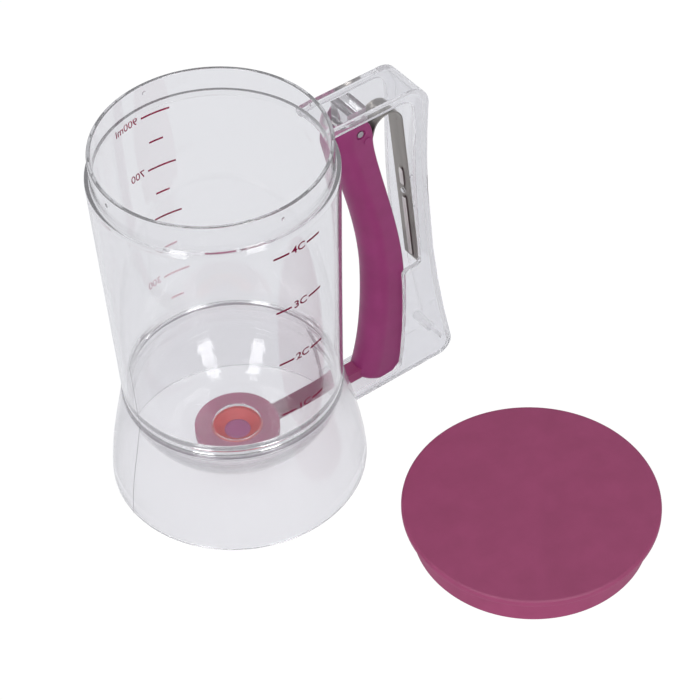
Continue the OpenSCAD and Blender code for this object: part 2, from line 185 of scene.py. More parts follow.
def box(name, low, high):
    """A box between two opposite corners."""
    (x0, y0, z0), (x1, y1, z1) = low, high
    points = [(x, y, z) for z in (z0, z1) for y in (y0, y1) for x in (x0, x1)]
    faces = [(0, 2, 3, 1), (4, 5, 7, 6), (0, 1, 5, 4), (2, 6, 7, 3), (0, 4, 6, 2), (1, 3, 7, 5)]
    return add_mesh(name, points, faces, smooth=False)


def beam_faces(first, steps):
    """Faces of a beam whose points run in fours from number first on, steps fours long."""
    faces = []
    for i in range(steps):
        a = first + 4 * i
        b = a + 4
        faces += [[a, a + 1, b + 1, b], [a + 2, b + 2, b + 3, a + 3],
                  [a, b, b + 2, a + 2], [a + 1, a + 3, b + 3, b + 1]]
    end = first + 4 * steps
    return faces + [[first, first + 2, first + 3, first + 1], [end, end + 1, end + 3, end + 2]]


def combine(piece, others, operation):
    """Joins or cuts piece with others, which are used up."""
    for other in others:
        change = piece.modifiers.new("cut", "BOOLEAN")
        change.operation = operation
        change.solver = "EXACT"
        change.object = other
    settle(piece)
    for other in others:
        bpy.data.objects.remove(other)


def settle(piece):
    """Puts the effect of the modifiers into the mesh."""
    graph = bpy.context.evaluated_depsgraph_get()
    mesh = bpy.data.meshes.new_from_object(piece.evaluated_get(graph))
    piece.modifiers.clear()
    old = piece.data
    piece.data = mesh
    bpy.data.meshes.remove(old)
    mesh.name = piece.name


def bevel(piece, width, segments=3, angle=40):
    change = piece.modifiers.new("edges", "BEVEL")
    change.width = width * MM
    change.segments = segments
    change.limit_method = "ANGLE"
    change.angle_limit = math.radians(angle)
    piece.data.shade_smooth()
    weight_normals(piece)


# ---- Materials ----
def new_material(name):
    mat = bpy.data.materials.new(name)
    mat.use_nodes = True
    tree = mat.node_tree
    shader = tree.nodes["Principled BSDF"]
    return mat, tree, shader


def noise(tree, scale, detail, roughness=0.5, stretch=(1, 1, 1)):
    place = tree.nodes.new("ShaderNodeTexCoord")
    shift = tree.nodes.new("ShaderNodeMapping")
    shift.inputs["Scale"].default_value = stretch
    tex = tree.nodes.new("ShaderNodeTexNoise")
    tex.inputs["Scale"].default_value = scale
    tex.inputs["Detail"].default_value = detail
    tex.inputs["Roughness"].default_value = roughness
    tree.links.new(place.outputs["Object"], shift.inputs["Vector"])
    tree.links.new(shift.outputs["Vector"], tex.inputs["Vector"])
    return tex.outputs["Fac"]


def spread(tree, value, low, high):
    """Turns a value of 0 to 1 into one of low to high."""
    change = tree.nodes.new("ShaderNodeMapRange")
    change.inputs["To Min"].default_value = low
    change.inputs["To Max"].default_value = high
    tree.links.new(value, change.inputs["Value"])
    return change.outputs["Result"]


def blend_colours(tree, value, first, second):
    ramp = tree.nodes.new("ShaderNodeValToRGB")
    ramp.color_ramp.elements[0].position = 0.3
    ramp.color_ramp.elements[1].position = 0.7
    ramp.color_ramp.elements[0].color = (*first, 1)
    ramp.color_ramp.elements[1].color = (*second, 1)
    tree.links.new(value, ramp.inputs["Fac"])
    return ramp.outputs["Color"]


def bump(tree, value, strength, distance, shader):
    """Raises the surface with value; the distance is in millimetres."""
    node = tree.nodes.new("ShaderNodeBump")
    node.inputs["Strength"].default_value = strength
    node.inputs["Distance"].default_value = distance * MM
    tree.links.new(value, node.inputs["Height"])
    tree.links.new(node.outputs["Normal"], shader.inputs["Normal"])


def clear_plastic(name, tint, rough, wave, clear, glow_share=0.0, density=0):
    """Clear moulded plastic: rough is a range, and with a density the inside fills with absorption and with a
    glow, painted light that stands in for light scattered in the walls.
    """
    mat, tree, shader = new_material(name)
    shader.inputs["Base Color"].default_value = (*tint, 1)
    # A little milkiness: light caught inside the walls comes out again
    shader.inputs["Transmission Weight"].default_value = clear
    shader.inputs["IOR"].default_value = 1.47
    tree.links.new(spread(tree, noise(tree, 60, 4), *rough), shader.inputs["Roughness"])
    # Slow waves of the moulding in the surface
    bump(tree, noise(tree, 38, 2, 0.4, (1, 1, 0.35)), wave, 0.25, shader)
    out = tree.nodes["Material Output"]
    # Rays from lamps pass, so that what is behind the plastic is lit
    path = tree.nodes.new("ShaderNodeLightPath")
    film = tree.nodes.new("ShaderNodeBsdfTransparent")
    film.inputs["Color"].default_value = (0.95, 0.95, 0.96, 1)
    mix = tree.nodes.new("ShaderNodeMixShader")
    tree.links.new(path.outputs["Is Shadow Ray"], mix.inputs["Fac"])
    tree.links.new(shader.outputs["BSDF"], mix.inputs[1])
    tree.links.new(film.outputs["BSDF"], mix.inputs[2])
    tree.links.new(mix.outputs["Shader"], out.inputs["Surface"])
    if not density:
        return mat
    # Inside: absorption darkens light that runs a long way in the plastic, and an emission glow, painted light,
    # lifts it to an even grey
    volume = tree.nodes.new("ShaderNodeVolumeAbsorption")
    volume.inputs["Color"].default_value = (0.8, 0.8, 0.8, 1)
    volume.inputs["Density"].default_value = density
    glow = tree.nodes.new("ShaderNodeEmission")
    glow.inputs["Color"].default_value = (0.96, 0.95, 1, 1)
    glow.inputs["Strength"].default_value = density * 0.2 * glow_share
    both = tree.nodes.new("ShaderNodeAddShader")
    tree.links.new(volume.outputs["Volume"], both.inputs[0])
    tree.links.new(glow.outputs["Emission"], both.inputs[1])
    tree.links.new(both.outputs["Shader"], out.inputs["Volume"])
    return mat


def satin_plastic(name, first, second, rough, grain=0.25, coat=0.0, gloss=0.45):
    """Plastic or ink whose colour wanders between first and second."""
    mat, tree, shader = new_material(name)
    tree.links.new(blend_colours(tree, noise(tree, 90, 5), first, second), shader.inputs["Base Color"])
    tree.links.new(spread(tree, noise(tree, 160, 3), *rough), shader.inputs["Roughness"])
    shader.inputs["Specular IOR Level"].default_value = gloss
    shader.inputs["Coat Weight"].default_value = coat
    shader.inputs["Coat Roughness"].default_value = 0.3
    # Fine spark-eroded grain
    bump(tree, noise(tree, 2600, 2), grain, 0.03, shader)
    return mat


def steel(name, colour, rough, stretch, metal=1.0):
    """Rolled or ground steel, streaked along its stretched direction."""
    mat, tree, shader = new_material(name)
    dark = [c * 0.82 for c in colour]
    tree.links.new(blend_colours(tree, noise(tree, 250, 4, 0.6, stretch), dark, colour),
                   shader.inputs["Base Color"])
    shader.inputs["Metallic"].default_value = metal
    tree.links.new(spread(tree, noise(tree, 400, 4, 0.6, stretch), *rough), shader.inputs["Roughness"])
    bump(tree, noise(tree, 900, 3, 0.6, stretch), 0.15, 0.02, shader)
    return mat


# Clear ones: tint, roughness from and to, waves, clearness, painted inner glow and density
CLEAR = clear_plastic("clear_plastic", (0.98, 0.98, 0.985), (0.01, 0.04), 0.12, 0.995, 0.2, 100)
CLEAR_BOWL = clear_plastic("clear_plastic_bowl", (0.955, 0.95, 0.96), (0.01, 0.03), 0.08, 0.995, 0.6, 170)
CLEAR_STAND = clear_plastic("clear_plastic_stand", (0.935, 0.93, 0.94), (0.1, 0.18), 0.12, 0.985, 0.3, 120)
CLEAR_HANDLE = clear_plastic("clear_plastic_handle", (0.94, 0.94, 0.95), (0.02, 0.07), 0.2, 0.97, 0.55, 120)
CLEAR_SEAM = clear_plastic("clear_plastic_seam", (0.24, 0.21, 0.24), (0.1, 0.2), 0.1, 0.9)
# The others: a dark and a light colour, roughness from and to, and what differs
PLUM = satin_plastic("plum_plastic", (0.23, 0.017, 0.115), (0.27, 0.024, 0.14), (0.42, 0.55))
PLUM_VALVE = satin_plastic("plum_valve", (0.26, 0.005, 0.08), (0.3, 0.008, 0.1), (0.42, 0.55))
# The valve arm's plum, darkened inside the stand by a colour ramp: painted shade
PLUM_ARM_PAINTED_SHADE = satin_plastic("plum_arm_painted_shade", (0.07, 0.004, 0.03), (0.09, 0.006, 0.04), (0.42, 0.55))
PLUM_LID = satin_plastic("plum_lid", (0.315, 0.036, 0.125), (0.355, 0.044, 0.145), (0.52, 0.64), 0.3, 0.1)
SEAL = satin_plastic("seal_silicone", (0.44, 0.008, 0.012), (0.52, 0.014, 0.016), (0.45, 0.6), 0.2)
BUTTON = satin_plastic("button_plastic", (0.28, 0.02, 0.15), (0.32, 0.03, 0.18), (0.4, 0.55))
SPRING = steel("spring_steel", (0.3, 0.28, 0.26), (0.22, 0.38), (1, 1, 0.08))
# A near-white steel for the rib's top faces: a painted highlight, as the rib is of the strip's own steel
SPRING_RIB_HIGHLIGHT = steel("spring_rib_painted_highlight", (0.97, 0.96, 0.94), (0.3, 0.45), (1, 1, 0.08), 0.15)
PIN = steel("pin_steel", (0.42, 0.38, 0.41), (0.2, 0.35), (1, 0.2, 1))
MOULD_LINE = satin_plastic("mould_line", (0.42, 0.4, 0.43), (0.5, 0.48, 0.5), (0.3, 0.4), 0.1)
INK = satin_plastic("crimson_ink", (0.23, 0.0, 0.035), (0.27, 0.0, 0.045), (0.7, 0.8), 0.1, gloss=0.08)
DARK_INK = satin_plastic("dark_crimson_ink", (0.16, 0.0, 0.028), (0.19, 0.0, 0.035), (0.7, 0.8), 0.1,
                         gloss=0.08)
FAINT_INK = satin_plastic("worn_ink", (0.62, 0.36, 0.42), (0.7, 0.44, 0.5), (0.5, 0.65), 0.1)


def paint(piece, mat, body=None):
    """Gives a new piece its material and, where a body is named, the body that carries it."""
    piece.data.materials.clear()
    piece.data.materials.append(mat)
    if body:
        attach(piece, body)


def smooth_shade(piece, angle):
    """Smooth shading with sharp edges from an angle on."""
    piece.data.shade_smooth()
    piece.data.set_sharp_from_angle(angle=math.radians(angle))


def dress(node, mat):
    """Gives one of the CAD's own nodes its material."""
    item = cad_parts[node]
    item.data.materials.clear()
    item.data.materials.append(mat)
    smooth_shade(item, 28)


# ---- Jug wall ----
def wall_radius(z):
    """Outer radius of the tapered wall at a height."""
    low, high = (WAIST_Z, WAIST_R), (LEDGE_Z - LEDGE_T, LEDGE_R)
    return low[1] + (high[1] - low[1]) * (z - low[0]) / (high[0] - low[0])


wall_outline = rounded([
    (WAIST_R, WAIST_Z, 0.4), (LEDGE_R, LEDGE_Z - LEDGE_T, 3), (LEDGE_R, LEDGE_Z, 0.6),
    (COLLAR_R, LEDGE_Z, 0.5), (COLLAR_R, JUG_H, 0.55), (COLLAR_IN, JUG_H, 0.55),
    (COLLAR_IN, LEDGE_Z - LEDGE_T, 1.2), (LEDGE_R - WALL_T, LEDGE_Z - LEDGE_T - 1.8, 1.2),
    (WAIST_R - WALL_T + 0.15, WAIST_Z + 5.4, 3), (WAIST_R - WALL_T - 1.1, WAIST_Z + 1.2, 0.8),
    (WAIST_R - WALL_T, WAIST_Z, 0.2)])
jug = revolve("jug_container", wall_outline)
# Four small bumps on the collar hold the lid
BUMP_R, BUMP_DEPTH, BUMP_SUNK = 1.2, 0.8, 0.4
bumps = []
for quarter in range(4):
    a = math.pi / 2 * quarter
    out, up = Vector((math.cos(a), math.sin(a), 0)), Vector((0, 0, 1))
    at = up * (JUG_H - COLLAR_H * 0.4)
    dome = bmesh.new()
    bmesh.ops.create_icosphere(dome, subdivisions=3, radius=1.0)
    for v in dome.verts:
        v.co = (at + out * (COLLAR_R - BUMP_SUNK + v.co.x * BUMP_DEPTH)
                + out.cross(up) * v.co.y * BUMP_R + up * v.co.z * BUMP_R) * MM
    mesh = bpy.data.meshes.new("snap_bump")
    bmesh.ops.recalc_face_normals(dome, faces=dome.faces)
    dome.to_mesh(mesh)
    dome.free()
    item = bpy.data.objects.new("snap_bump", mesh)
    bpy.context.scene.collection.objects.link(item)
    bumps.append(item)
combine(jug, bumps, "UNION")
jug.data.shade_smooth()
weight_normals(jug)
paint(jug, CLEAR, "jug")
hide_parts("jug_wall")

# ---- Bowl with its flat bottom and outlet ----
bowl_line = bezier((WAIST_R - WALL_T, WAIST_Z), (WAIST_R - WALL_T - 0.4, WAIST_Z - 14.4),
                   (BOWL_FLOOR_R + 11.8, FLOOR_EDGE_Z), (BOWL_FLOOR_R, FLOOR_EDGE_Z), 48)
bowl_under = [(r + 0.6, z - BOWL_T) for r, z in bowl_line if r < WAIST_R - STAND_T - 1.2]
seat_r = WAIST_R - STAND_T - WELD_GAP
bowl_outline = ([(r, z - WELD_GAP) for r, z in bowl_line]
                + rounded([bowl_line[-1], (OUTLET_R, OUTLET_TOP_Z, 0.5), (OUTLET_R, OUTLET_Z, 0.4),
                           bowl_under[-1]], closed=False)[1:-1]
                + bowl_under[::-1]
                + rounded([bowl_under[0], (seat_r, STAND_TOP_Z - 3, 0.3), (seat_r, STAND_TOP_Z, 0.3),
                           (WAIST_R + 0.4, STAND_TOP_Z, 0.3), (WAIST_R + 0.4, WAIST_Z - WELD_GAP, 0.4),
                           bowl_line[0]], closed=False)[1:-1])
bowl = revolve("funnel_bowl_moulding", bowl_outline)
weight_normals(bowl)
paint(bowl, CLEAR_BOWL, "jug")
# The weld round the waist shows as a thin dark line
bowl.data.materials.append(CLEAR_SEAM)
for face in bowl.data.polygons:
    out = math.hypot(face.center.x, face.center.y) / MM
    if out > WAIST_R + 0.1 and face.center.z / MM < WAIST_Z - 0.3:
        face.material_index = 1
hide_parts("funnel_bowl", "bowl_floor")

# ---- Stand ----
stand_line = bezier((WAIST_R + 0.3, STAND_TOP_Z - WELD_GAP), (WAIST_R + 3.4, STAND_TOP_Z * 0.66),
                    (FOOT_R - 0.9, STAND_TOP_Z * 0.34), (FOOT_R, 0), 36)
stand_outline = (rounded([(WAIST_R - STAND_T, STAND_TOP_Z), (*stand_line[0], 0.4), stand_line[1]],
                         closed=False)[1:-1]
                 + stand_line[1:-1]
                 + rounded([stand_line[-2], (FOOT_R, 0, 0.5), (FOOT_R - STAND_T, 0, 0.5),
                            (FOOT_R - STAND_T, FOOT_BAND + 1)], closed=False)[1:-1]
                 + [(FOOT_R - STAND_T, FOOT_BAND)]
                 + [(r - STAND_T, z) for r, z in stand_line[::-1] if z > FOOT_BAND + 2])
stand = revolve("flared_stand", stand_outline)
combine(stand, [box("slot", (SLOT_IN, -SLOT_W / 2, SLOT_LOW), (SLOT_OUT, SLOT_W / 2, SLOT_HIGH))], "DIFFERENCE")
smooth_shade(stand, 40)
weight_normals(stand)
paint(stand, CLEAR_STAND, "jug")
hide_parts("base_stand")

# ---- Mould line up the back of the stand and the wall ----
LINE_HALF_W, LINE_HALF_T = 0.16, 0.1
wall_rise = LEDGE_Z - LEDGE_T - WAIST_Z
climb = stand_line[::-1] + [(WAIST_R, WAIST_Z + 0.5)]
climb += [(WAIST_R + (LEDGE_R - WAIST_R) * t, WAIST_Z + wall_rise * t) for t in (0.1, 0.2, 0.3)]
line_points = [(-(r + lift), side, z) for r, z in climb for side in (-LINE_HALF_W, LINE_HALF_W)
               for lift in (-LINE_HALF_T, LINE_HALF_T)]
mould_line = add_mesh("mould_line", line_points, beam_faces(0, len(climb) - 1), smooth=False)
face_out(mould_line)
paint(mould_line, MOULD_LINE, "jug")

# ---- Handle, from the CAD's solid with its edges rounded ----
solid = bmesh.new()
solid.from_mesh(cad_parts["handle_frame"].data)
bmesh.ops.remove_doubles(solid, verts=solid.verts, dist=0.00002)
bmesh.ops.dissolve_limit(solid, angle_limit=math.radians(2), verts=solid.verts, edges=solid.edges)
mesh = bpy.data.meshes.new("handle_moulding")
solid.to_mesh(mesh)
solid.free()
handle = bpy.data.objects.new("handle_moulding", mesh)
bpy.context.scene.collection.objects.link(handle)
bevel(handle, 0.3)
paint(handle, CLEAR_HANDLE, "jug")
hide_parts("handle_frame")


# ---- Trigger ----
PALM_X = 88.93
GRIP = (PALM_X, PIVOT_Z - 87)
GRIP_IN = (PALM_X - 16.7, GRIP[1])
HEAD_IN = (PIVOT_X - 11.6, PIVOT_Z - 6)
HEAD_OUT = (PIVOT_X + 6.2, PIVOT_Z - 16.6)
FOOT_IN = (GRIP_IN[0] - 7.3, LOW_Z + 4.6)
FOOT_OUT = (GRIP[0] - 2.8, LOW_Z + 5.2)
BROW = (PIVOT_X + 6.6, PIVOT_Z - 4)
GRIP_STEPS, SHANK_STEPS, TIP_STEPS = 26, 18, 6


def moved(p, dx, dz):
    return (p[0] + dx, p[1] + dz)


# The curves below GRIP start a hair lower, so that no point is double
finger_line = (
    bezier(moved(HEAD_IN, 4, 12), moved(HEAD_IN, 0.6, 10), moved(HEAD_IN, 0.2, 6), HEAD_IN, TIP_STEPS)[:-1]
    + bezier(HEAD_IN, moved(HEAD_IN, 5, -20.5), moved(GRIP_IN, -0.4, 29), GRIP_IN, GRIP_STEPS)[:-1]
    + bezier(moved(GRIP_IN, 0, -0.01), moved(GRIP_IN, 0.2, -21), moved(FOOT_IN, 5.3, 14), FOOT_IN,
             SHANK_STEPS)[:-1]
    + bezier(FOOT_IN, moved(FOOT_IN, 0.2, -2.4), moved(FOOT_IN, 2.2, -4.3), moved(FOOT_IN, 6.4, -4.6),
             TIP_STEPS))
palm_line = (
    bezier((PIVOT_X + 1.5, TOP_Z), (PIVOT_X + 4.4, TOP_Z - 0.4), (PIVOT_X + 6.2, TOP_Z - 4), BROW,
           TIP_STEPS)[:-1]
    + bezier(BROW, moved(HEAD_OUT, -1, 2), moved(GRIP, -1.6, 31), GRIP, GRIP_STEPS)[:-1]
    + bezier(moved(GRIP, 0, -0.01), moved(GRIP, 0.9, -20), moved(FOOT_OUT, 2.6, 15), FOOT_OUT,
             SHANK_STEPS)[:-1]
    + bezier(FOOT_OUT, moved(FOOT_OUT, -0.7, -2.6), moved(FOOT_OUT, -3, -5), moved(FOOT_OUT, -8, -5.2),
             TIP_STEPS))


def cross_section(a, b, w, n, corner):
    """Between a on the finger side and b on the palm side: rounded at the fingers, flat at the palm."""
    a, b = Vector(a), Vector(b)
    depth = (a - b).length
    nose = min(w / 2, depth * 0.75)
    edge = []
    if corner:
        for k in (3, 2, 1, 0):
            turn = math.pi / 2 * k / 3
            p = b + (a - b) * (corner * (1 - math.sin(turn)) / depth)
            edge.append((p.x, -w / 2 + corner * (1 - math.cos(turn)), p.y))
    else:
        edge.append((b.x, -w / 2, b.y))
    front = []
    for i in range(n + 1):
        turn = math.radians(-90 + 180 * i / n)
        p = b + (a - b) * (1 - (1 - math.cos(turn)) * nose / depth)
        front.append((p.x, w / 2 * math.sin(turn), p.y))
    return edge + front + [(x, -y, z) for x, y, z in edge][::-1]


def loft(name, inner, outer, w, n, corner=0.0):
    """A closed skin over the cross sections between two lines."""
    rings = [cross_section(a, b, w, n, corner) for a, b in zip(inner, outer)]
    m, last = len(rings[0]), len(rings) - 1
    points = [p for ring in rings for p in ring]
    faces = [[i * m + j, (i + 1) * m + j, (i + 1) * m + (j + 1) % m, i * m + (j + 1) % m]
             for i in range(last) for j in range(m)]
    faces += [list(range(m)), [last * m + j for j in range(m)][::-1]]
    piece = add_mesh(name, points, faces)
    face_out(piece)
    return piece


def cross_rod(name, x, z, low, high, radius, sides=32):
    """A rod along Y."""
    return rod(name, (x, low, z), (x, high, z), radius, sides)


BOSS_X, BOSS_Z, BOSS_R = PIVOT_X + 3.2, PIVOT_Z - 5, 1.8
RECESS_R, RECESS_DEPTH = PIN_R + 0.9, 0.7
WINDOW = ((53.5, -3.64, 9.56), (75.2, 3.64, 15.04))
side_y = TRIGGER_W / 2
trigger = loft("squeeze_trigger", finger_line, palm_line, TRIGGER_W, 24, 0.9)
hollow_in = ([(HEAD_IN[0] + TRIGGER_T + 0.2, TOP_Z + 3), (HEAD_IN[0] + TRIGGER_T + 0.2, TOP_Z + 0.5)]
             + [moved(p, TRIGGER_T, 0) for p in finger_line[TIP_STEPS:-TIP_STEPS - 1]]
             + [(FOOT_IN[0] + TRIGGER_T + 2.6, LOW_Z + TRIGGER_T)])
hollow = loft("hollow", hollow_in, [(110, p[1]) for p in hollow_in], HOLLOW_W, 20)
combine(trigger, [cross_rod("boss", BOSS_X, BOSS_Z, -side_y - 0.4, side_y + 0.4, BOSS_R)], "UNION")
combine(trigger, [
    hollow,
    cross_rod("bore", PIVOT_X, PIVOT_Z, -12, 12, PIN_R + 0.06, 48),
    cross_rod("near_recess", PIVOT_X, PIVOT_Z, -side_y - 1, -side_y + RECESS_DEPTH, RECESS_R, 48),
    cross_rod("far_recess", PIVOT_X, PIVOT_Z, side_y - RECESS_DEPTH, side_y + 1, RECESS_R, 48),
    box("window", *WINDOW)], "DIFFERENCE")
bevel(trigger, 0.35, 2)
paint(trigger, PLUM, "trigger")
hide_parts("trigger_lever")

# ---- Valve and pin ----
for node, mat in (("valve_arm", PLUM_VALVE), ("valve_seal", SEAL), ("seal_button", BUTTON), ("pivot_pin", PIN)):
    dress(node, mat)
# The arm is darker inside the stand, as it lies in the stand's shade, than beside the trigger
ARM_START_X, SHADE_END_X, LIT_X = 0.0195, 0.05, 0.054
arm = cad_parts["valve_arm"]
tree = PLUM_ARM_PAINTED_SHADE.node_tree
where = tree.nodes.new("ShaderNodeTexCoord")
parts = tree.nodes.new("ShaderNodeSeparateXYZ")
reach = tree.nodes.new("ShaderNodeMapRange")
reach.inputs["From Min"].default_value = SHADE_END_X - arm.matrix_world.translation.x
reach.inputs["From Max"].default_value = LIT_X - arm.matrix_world.translation.x
tree.links.new(where.outputs["Object"], parts.inputs["Vector"])
tree.links.new(parts.outputs["X"], reach.inputs["Value"])
tree.links.new(blend_colours(tree, reach.outputs["Result"], (0.14, 0.003, 0.045), (0.27, 0.025, 0.12)),
               tree.nodes["Principled BSDF"].inputs["Base Color"])
arm.data.materials.append(PLUM_ARM_PAINTED_SHADE)
for face in arm.data.polygons:
    if (arm.matrix_world @ face.center).x > ARM_START_X:
        face.material_index = 1

# ---- Spring: a bent strip with a pressed rib, a straight leg and a straight tongue ----
BEND, BEND_R = (84.7, 150.7), 7.6
LEG_END, TONGUE_END = (99.82, 64.5), (68.85, 123.0)
STRIP_W, STRIP_T, RIB_W, RIB_H = 10.0, 0.6, 3.6, 0.9
PEG_UP, PEG_HOLE_R = 42.0, 1.3
LEG_STEPS, BEND_STEPS, TONGUE_STEPS = 110, 32, 16
NO_RIB = 999


def lean(across, down):
    """How far a straight length leans that runs off the bend to a point across and down from it."""
    return math.acos(BEND_R / math.hypot(across, down)) - math.atan2(down, across)


leg_tilt = lean(LEG_END[0] - BEND[0], BEND[1] - LEG_END[1])
tongue_tilt = lean(BEND[0] - TONGUE_END[0], BEND[1] - TONGUE_END[1])
arc_from, arc_to = leg_tilt, math.pi - tongue_tilt
leg_top = (BEND[0] + BEND_R * math.cos(arc_from), BEND[1] + BEND_R * math.sin(arc_from))
tongue_top = (BEND[0] + BEND_R * math.cos(arc_to), BEND[1] + BEND_R * math.sin(arc_to))
leg_length = math.dist(leg_top, LEG_END)
# The strip's middle line: X, Z and how far up the leg it is, for the rib
way = []
for i in range(LEG_STEPS + 1):
    t = i / LEG_STEPS
    way.append((LEG_END[0] + (leg_top[0] - LEG_END[0]) * t, LEG_END[1] + (leg_top[1] - LEG_END[1]) * t,
                leg_length * t))
for i in range(1, BEND_STEPS + 1):
    a = arc_from + (arc_to - arc_from) * i / BEND_STEPS
    way.append((BEND[0] + BEND_R * math.cos(a), BEND[1] + BEND_R * math.sin(a), NO_RIB))
for i in range(1, TONGUE_STEPS + 1):
    t = i / TONGUE_STEPS
    way.append((tongue_top[0] + (TONGUE_END[0] - tongue_top[0]) * t,
                tongue_top[1] + (TONGUE_END[1] - tongue_top[1]) * t, NO_RIB))


def smooth(value, low, high):
    """0 at low and 1 at high, with a soft start and end."""
    t = max(0.0, min(1.0, (value - low) / (high - low)))
    return t * t * (3 - 2 * t)


def rib_height(along, across):
    """How far the rib stands out: two pressed lengths with a flat place round the peg's hole."""
    ends = (smooth(along, 1.2, 2.6) * (1 - smooth(along, PEG_UP - 4.4, PEG_UP - 3.0))
            + smooth(along, PEG_UP + 3.0, PEG_UP + 4.4) * (1 - smooth(along, PEG_UP + 12, PEG_UP + 15)))
    return RIB_H * ends * (1 - smooth(abs(across), RIB_W * 0.2, RIB_W * 0.5))


def strip_mesh(name, rows=41):
    """The strip's two skins with rows of points across them, and the edge between them."""
    points, faces = [], []
    count = len(way)
    for side in (-1, 1):
        for i, (x, z, along) in enumerate(way):
            x0, z0, _ = way[max(i - 1, 0)]
            x1, z1, _ = way[min(i + 1, count - 1)]
            step = math.dist((x0, z0), (x1, z1))
            nx, nz = (z1 - z0) / step, -(x1 - x0) / step
            for k in range(rows):
                y = STRIP_W * (k / (rows - 1) - 0.5)
                out = side * STRIP_T / 2 - rib_height(along, y)
                points.append((x + nx * out, y, z + nz * out))
    skin = count * rows
    for side in (0, 1):
        for i in range(count - 1):
            for k in range(rows - 1):
                a = side * skin + i * rows + k
                faces.append([a, a + 1, a + rows + 1, a + rows])
    edge = ([i * rows for i in range(count)] + [(count - 1) * rows + k for k in range(1, rows)]
            + [i * rows + rows - 1 for i in range(count - 2, -1, -1)] + [k for k in range(rows - 2, 0, -1)])
    for i, a in enumerate(edge):
        b = edge[(i + 1) % len(edge)]
        faces.append([a, b, b + skin, a + skin])
    piece = add_mesh(name, points, faces)
    face_out(piece)
    return piece


spring = strip_mesh("strip_spring")
peg = (LEG_END[0] - PEG_UP * math.sin(leg_tilt), LEG_END[1] + PEG_UP * math.cos(leg_tilt))
across = (math.cos(leg_tilt), math.sin(leg_tilt))
combine(spring, [rod("peg_hole", (peg[0] - 2 * across[0], 0, peg[1] - 2 * across[1]),
                     (peg[0] + 3 * across[0], 0, peg[1] + 3 * across[1]), PEG_HOLE_R)], "DIFFERENCE")
smooth_shade(spring, 40)
weight_normals(spring)
settle(spring)
paint(spring, SPRING)
# The rib's top faces take the pale steel: a painted highlight
spring.data.materials.append(SPRING_RIB_HIGHLIGHT)
for face in spring.data.polygons:
    along = (face.center.z / MM - LEG_END[1]) / math.cos(leg_tilt)
    if face.center.x / MM > BEND[0] and rib_height(along, face.center.y / MM) > RIB_H * 0.5:
        face.material_index = 1
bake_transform(spring)
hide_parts("return_spring")

# ---- Lid ----
skirt_r, bore_r, flange_r = LEDGE_R, COLLAR_R + 0.3, LEDGE_R + 4.4
groove_r, groove_z = bore_r + GROOVE_T, COLLAR_H * 0.6
lid_outline = rounded([
    (0, LID_H), (flange_r, LID_H, 1.4), (flange_r, LID_H - FLANGE_T, 0.7), (skirt_r, LID_H - FLANGE_T, 0.5),
    (skirt_r, 0, 0.5), (bore_r, 0, 0.5), (bore_r, groove_z - 1.5, 0.2), (groove_r, groove_z - 1.2, 0.2),
    (groove_r, groove_z + 1.2, 0.2), (bore_r, groove_z + 1.5, 0.2), (bore_r, COLLAR_H + 0.3, 0.8),
    (0, COLLAR_H + 0.3)])
lid = revolve("press_on_lid", lid_outline, 288, (LID_X, LID_Y))
weight_normals(lid)
paint(lid, PLUM_LID, "lid")
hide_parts("lid")


# ---- Printed marks on the wall: azimuths in degrees ----
INK_LOW, INK_TOP = 0.02, 0.07
TEXT_SIZE = 5.3


def on_wall(azimuth, z, lift):
    """A point on the wall or just off it."""
    r = wall_radius(z) + lift
    a = math.radians(azimuth)
    return (r * math.cos(a), r * math.sin(a), z)


def printed_line(points, faces, start, end, z, thick):
    """A dash on the wall from azimuth start to end."""
    steps = max(2, round(abs(end - start)))
    faces += beam_faces(len(points), steps)
    for i in range(steps + 1):
        az = start + (end - start) * i / steps
        for lift in (INK_LOW, INK_TOP):
            for side in (-thick / 2, thick / 2):
                points.append(on_wall(az, z + side, lift))


def printed_text(points, faces, words, azimuth, z, wide=1.0, align="CENTER", bold=0.0):
    """Words on the wall, readable from outside, whose middle or start lies at an azimuth."""
    curve = bpy.data.curves.new("words", "FONT")
    curve.body = words
    curve.size = TEXT_SIZE
    curve.align_x = align
    curve.align_y = "CENTER"
    curve.resolution_u = 4
    curve.offset = bold
    curve.extrude = (INK_TOP - INK_LOW) / 2
    item = bpy.data.objects.new("words", curve)
    bpy.context.scene.collection.objects.link(item)
    mesh = bpy.data.meshes.new_from_object(item.evaluated_get(bpy.context.evaluated_depsgraph_get()))
    first = len(points)
    middle = (INK_LOW + INK_TOP) / 2
    for v in mesh.vertices:
        az = azimuth + math.degrees(v.co.x * wide / wall_radius(z))
        points.append(on_wall(az, z + v.co.y, middle + v.co.z))
    faces += [[first + i for i in f.vertices] for f in mesh.polygons]
    bpy.data.objects.remove(item)
    bpy.data.meshes.remove(mesh)
    bpy.data.curves.remove(curve)


def print_piece(name, points, faces, ink):
    marks = add_mesh(name, points, faces, smooth=False)
    face_out(marks)
    paint(marks, ink, "jug")


points, faces = [], []
for number, z in ((4, 161.4), (3, 131.1), (2, 100.8), (1, 70.2)):
    printed_line(points, faces, -97.7, -89.5, z, 1.0)
    printed_line(points, faces, -79.3, -71.1, z, 1.0)
    printed_text(points, faces, "%dC" % number, -84.3, z, 1.12, bold=0.08)
print_piece("cup_marks", points, faces, DARK_INK)
# The lower millilitre marks are worn pale; even hundreds have a short dash and no number
MILLILITRES = (
    ("millilitre_marks", INK, ((900, 164.5), (800, 150.3), (700, 136.2), (600, 122.2), (500, 108.8))),
    ("worn_millilitre_marks", FAINT_INK, ((400, 92.5), (300, 76.0), (200, 62.0))))
for name, ink, heights in MILLILITRES:
    points, faces = [], []
    for value, z in heights:
        if value % 200 == 0:
            printed_line(points, faces, 82.0, 89.6, z, 0.95)
            continue
        printed_line(points, faces, 77.0, 92.3, z, 0.95)
        if value != 500:
            words = "900ml" if value == 900 else str(value)
            printed_text(points, faces, words, 94.3, z, align="LEFT", bold=0.05)
    print_piece(name, points, faces, ink)

